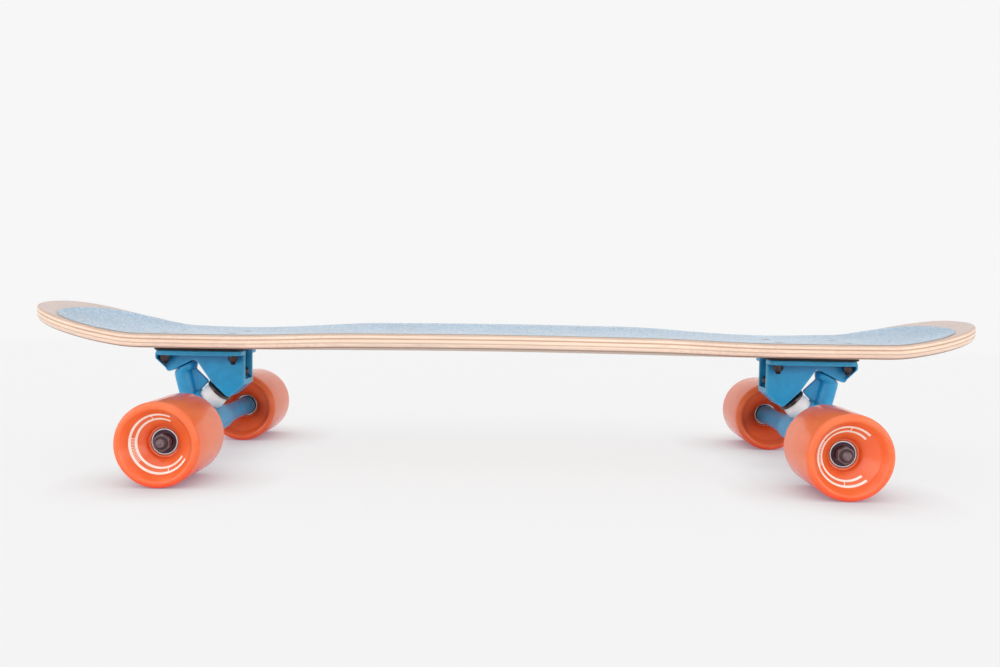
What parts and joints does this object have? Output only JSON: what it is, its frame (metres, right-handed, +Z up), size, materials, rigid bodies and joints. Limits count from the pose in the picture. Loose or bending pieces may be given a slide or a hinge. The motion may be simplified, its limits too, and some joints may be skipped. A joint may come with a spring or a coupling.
{
  "type": "mini longboard",
  "caption": "Kicktail plywood longboard with pale blue grip, blue steering trucks on white bushings and wide orange wheels.",
  "frame": {"origin": "on the ground under the middle of the deck, centre of the overall box in X and Y", "axes": "+X along the deck towards the tail, +Y across the board, +Z up; the nose is at -X"},
  "size_m": [0.851, 0.2666, 0.1452],
  "materials": {
    "maple": "satin",
    "grip": "matte",
    "riser": "matte",
    "truck_paint": "satin",
    "black_plastic": "matte",
    "dark_steel": "satin",
    "black_steel": "satin",
    "bushing": "satin",
    "bearing_steel": "polished",
    "urethane": "satin"
  },
  "bodies": {
    "board": {"deck": "maple", "griptape": "grip", "front_riser_pad": "riser", "front_baseplate": "truck_paint", "front_pivot_cup": "black_plastic", "front_kingpin": "dark_steel", "front_boardside_washer": "black_steel", "front_boardside_bushing": "bushing", "front_roadside_bushing": "bushing", "front_roadside_washer": "black_steel", "front_kingpin_nut": "dark_steel", "front_outer_left_bolt": "dark_steel", "front_outer_left_lock_nut": "dark_steel", "front_outer_right_bolt": "dark_steel", "front_outer_right_lock_nut": "dark_steel", "front_inner_left_bolt": "dark_steel", "front_inner_left_lock_nut": "dark_steel", "front_inner_right_bolt": "dark_steel", "front_inner_right_lock_nut": "dark_steel", "rear_riser_pad": "riser", "rear_baseplate": "truck_paint", "rear_pivot_cup": "black_plastic", "rear_kingpin": "dark_steel", "rear_boardside_washer": "black_steel", "rear_boardside_bushing": "bushing", "rear_roadside_bushing": "bushing", "rear_roadside_washer": "black_steel", "rear_kingpin_nut": "dark_steel", "rear_outer_left_bolt": "dark_steel", "rear_outer_left_lock_nut": "dark_steel", "rear_outer_right_bolt": "dark_steel", "rear_outer_right_lock_nut": "dark_steel", "rear_inner_left_bolt": "dark_steel", "rear_inner_left_lock_nut": "dark_steel", "rear_inner_right_bolt": "dark_steel", "rear_inner_right_lock_nut": "dark_steel"},
    "front_truck": {"front_hanger": "truck_paint", "front_axle": "dark_steel", "front_left_bearing_sleeve": "bearing_steel", "front_left_axle_nut": "dark_steel", "front_right_bearing_sleeve": "bearing_steel", "front_right_axle_nut": "dark_steel"},
    "rear_truck": {"rear_hanger": "truck_paint", "rear_axle": "dark_steel", "rear_left_bearing_sleeve": "bearing_steel", "rear_left_axle_nut": "dark_steel", "rear_right_bearing_sleeve": "bearing_steel", "rear_right_axle_nut": "dark_steel"},
    "front_left_wheel": {"front_left_wheel": "urethane", "front_left_inner_bearing": "bearing_steel", "front_left_outer_bearing": "bearing_steel"},
    "front_right_wheel": {"front_right_wheel": "urethane", "front_right_inner_bearing": "bearing_steel", "front_right_outer_bearing": "bearing_steel"},
    "rear_left_wheel": {"rear_left_wheel": "urethane", "rear_left_inner_bearing": "bearing_steel", "rear_left_outer_bearing": "bearing_steel"},
    "rear_right_wheel": {"rear_right_wheel": "urethane", "rear_right_inner_bearing": "bearing_steel", "rear_right_outer_bearing": "bearing_steel"}
  },
  "joints": [
    {"name": "front_steer", "type": "hinge", "parent": "board", "child": "front_truck", "pos_m": [-0.28195, 0, 0.04928], "axis": [-0.454, 0, 0.891], "range_deg": [-18, 18], "stiffness_Nm_per_rad": 30, "deforming": ["front_boardside_bushing", "front_roadside_bushing"]},
    {"name": "rear_steer", "type": "hinge", "parent": "board", "child": "rear_truck", "pos_m": [0.28635, 0, 0.04928], "axis": [0.454, 0, 0.891], "range_deg": [-18, 18], "stiffness_Nm_per_rad": 30, "deforming": ["rear_boardside_bushing", "rear_roadside_bushing"]},
    {"name": "front_left_spin", "type": "hinge", "parent": "front_truck", "child": "front_left_wheel", "pos_m": [-0.2728, -0.1033, 0.035], "axis": [0, 1, 0], "continuous": true},
    {"name": "front_right_spin", "type": "hinge", "parent": "front_truck", "child": "front_right_wheel", "pos_m": [-0.2728, 0.1033, 0.035], "axis": [0, 1, 0], "continuous": true},
    {"name": "rear_left_spin", "type": "hinge", "parent": "rear_truck", "child": "rear_left_wheel", "pos_m": [0.2772, -0.1033, 0.035], "axis": [0, 1, 0], "continuous": true},
    {"name": "rear_right_spin", "type": "hinge", "parent": "rear_truck", "child": "rear_right_wheel", "pos_m": [0.2772, 0.1033, 0.035], "axis": [0, 1, 0], "continuous": true}
  ]
}
